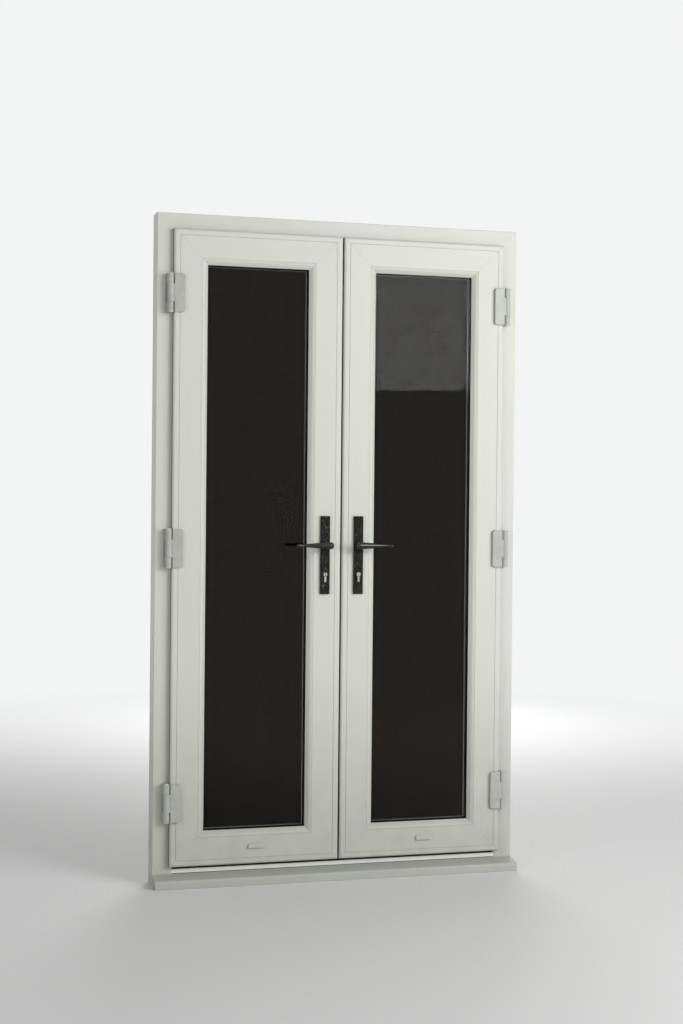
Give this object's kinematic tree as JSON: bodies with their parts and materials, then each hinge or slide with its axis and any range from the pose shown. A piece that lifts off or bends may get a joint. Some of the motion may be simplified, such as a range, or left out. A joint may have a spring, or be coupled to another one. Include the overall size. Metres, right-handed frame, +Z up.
{
  "type": "french doors",
  "caption": "Outward-opening glazed double doors in their frame, with flag hinges, lever handles on long backplates and a sloped sill.",
  "frame": {"origin": "underside of the sill, in the middle of the width, in line with the leaves' front faces", "axes": "+X to the right seen from outside, +Y into the building, +Z up"},
  "size_m": [1.19, 0.181, 2.09],
  "materials": {
    "upvc": "pale grey-green satin",
    "hinge_coating": "grey-green powder coat",
    "dark_iron": "aged black pewter",
    "nickel": "satin nickel",
    "steel": "zinc plated",
    "pane_glass": "clear, dark room behind",
    "spacer": "mill",
    "seal_rubber": "black",
    "nylon": "black"
  },
  "bodies": {
    "frame": {"outer_frame": "upvc", "threshold": "upvc", "sill": "upvc", "sill_end_cap_left": "upvc", "sill_end_cap_right": "upvc", "frame_gasket": "seal_rubber", "head_keeps": "steel", "threshold_keeps": "steel", "hinge_brackets_left": "hinge_coating", "hinge_pins_left": "steel", "hinge_brackets_right": "hinge_coating", "hinge_pins_right": "steel"},
    "leaf_left": {"sash_left": "upvc", "sash_reinforcement_left": "steel", "outer_pane_left": "pane_glass", "inner_pane_left": "pane_glass", "spacer_bar_left": "spacer", "glazing_gaskets_left": "seal_rubber", "glazing_beads_left": "upvc", "leaf_gasket_left": "seal_rubber", "meeting_cover_left": "upvc", "meeting_seal_left": "seal_rubber", "hinge_flags_left": "hinge_coating", "hinge_bushes_left": "nylon", "lock_faceplate_left": "steel", "lock_case_left": "steel", "lock_cylinder_left": "nickel", "backplate_outside_left": "dark_iron", "backplate_inside_left": "dark_iron", "drain_cap_left": "upvc"},
    "lever_left": {"lever_outside_left": "dark_iron", "lever_inside_left": "dark_iron", "spindle_left": "steel"},
    "top_bolt_left": {"top_bolt_left": "steel"},
    "bottom_bolt_left": {"bottom_bolt_left": "steel"},
    "key_plug_left": {"key_plug_left": "nickel"},
    "leaf_right": {"sash_right": "upvc", "sash_reinforcement_right": "steel", "outer_pane_right": "pane_glass", "inner_pane_right": "pane_glass", "spacer_bar_right": "spacer", "glazing_gaskets_right": "seal_rubber", "glazing_beads_right": "upvc", "leaf_gasket_right": "seal_rubber", "meeting_cover_right": "upvc", "meeting_seal_right": "seal_rubber", "hinge_flags_right": "hinge_coating", "hinge_bushes_right": "nylon", "lock_faceplate_right": "steel", "lock_case_right": "steel", "lock_cylinder_right": "nickel", "backplate_outside_right": "dark_iron", "backplate_inside_right": "dark_iron", "drain_cap_right": "upvc"},
    "lever_right": {"lever_outside_right": "dark_iron", "lever_inside_right": "dark_iron", "spindle_right": "steel"},
    "top_bolt_right": {"top_bolt_right": "steel"},
    "bottom_bolt_right": {"bottom_bolt_right": "steel"},
    "key_plug_right": {"key_plug_right": "nickel"}
  },
  "joints": [
    {"name": "leaf_swing_left", "type": "hinge", "parent": "frame", "child": "leaf_left", "pos_m": [-0.556, -0.001, 1.05], "axis": [0, 0, -1], "range_deg": [0, 100]},
    {"name": "lever_turn_left", "type": "hinge", "parent": "leaf_left", "child": "lever_left", "pos_m": [-0.055, 0.031, 1.06], "axis": [0, 1, 0], "range_deg": [-40, 40], "stiffness_Nm_per_rad": 4, "springref_deg": 1.55},
    {"name": "top_bolt_slide_left", "type": "slide", "parent": "leaf_left", "child": "top_bolt_left", "axis": [0, 0, 1], "range_m": [-0.02, 0.02]},
    {"name": "bottom_bolt_slide_left", "type": "slide", "parent": "leaf_left", "child": "bottom_bolt_left", "axis": [0, 0, -1], "range_m": [-0.02, 0.02]},
    {"name": "key_turn_left", "type": "hinge", "parent": "leaf_left", "child": "key_plug_left", "pos_m": [-0.055, 0.031, 0.968], "axis": [0, 1, 0], "continuous": true},
    {"name": "leaf_swing_right", "type": "hinge", "parent": "frame", "child": "leaf_right", "pos_m": [0.556, -0.001, 1.05], "axis": [0, 0, 1], "range_deg": [0, 100]},
    {"name": "lever_turn_right", "type": "hinge", "parent": "leaf_right", "child": "lever_right", "pos_m": [0.055, 0.031, 1.06], "axis": [0, -1, 0], "range_deg": [-40, 40], "stiffness_Nm_per_rad": 4, "springref_deg": 1.55},
    {"name": "top_bolt_slide_right", "type": "slide", "parent": "leaf_right", "child": "top_bolt_right", "axis": [0, 0, 1], "range_m": [-0.02, 0.02]},
    {"name": "bottom_bolt_slide_right", "type": "slide", "parent": "leaf_right", "child": "bottom_bolt_right", "axis": [0, 0, -1], "range_m": [-0.02, 0.02]},
    {"name": "key_turn_right", "type": "hinge", "parent": "leaf_right", "child": "key_plug_right", "pos_m": [0.055, 0.031, 0.968], "axis": [0, 1, 0], "continuous": true}
  ],
  "couplings": [
    {"joint": "top_bolt_slide_left", "follows": "lever_turn_left", "m_per_rad": 0.0286},
    {"joint": "bottom_bolt_slide_left", "follows": "lever_turn_left", "m_per_rad": 0.0286},
    {"joint": "top_bolt_slide_right", "follows": "lever_turn_right", "m_per_rad": 0.0286},
    {"joint": "bottom_bolt_slide_right", "follows": "lever_turn_right", "m_per_rad": 0.0286}
  ]
}
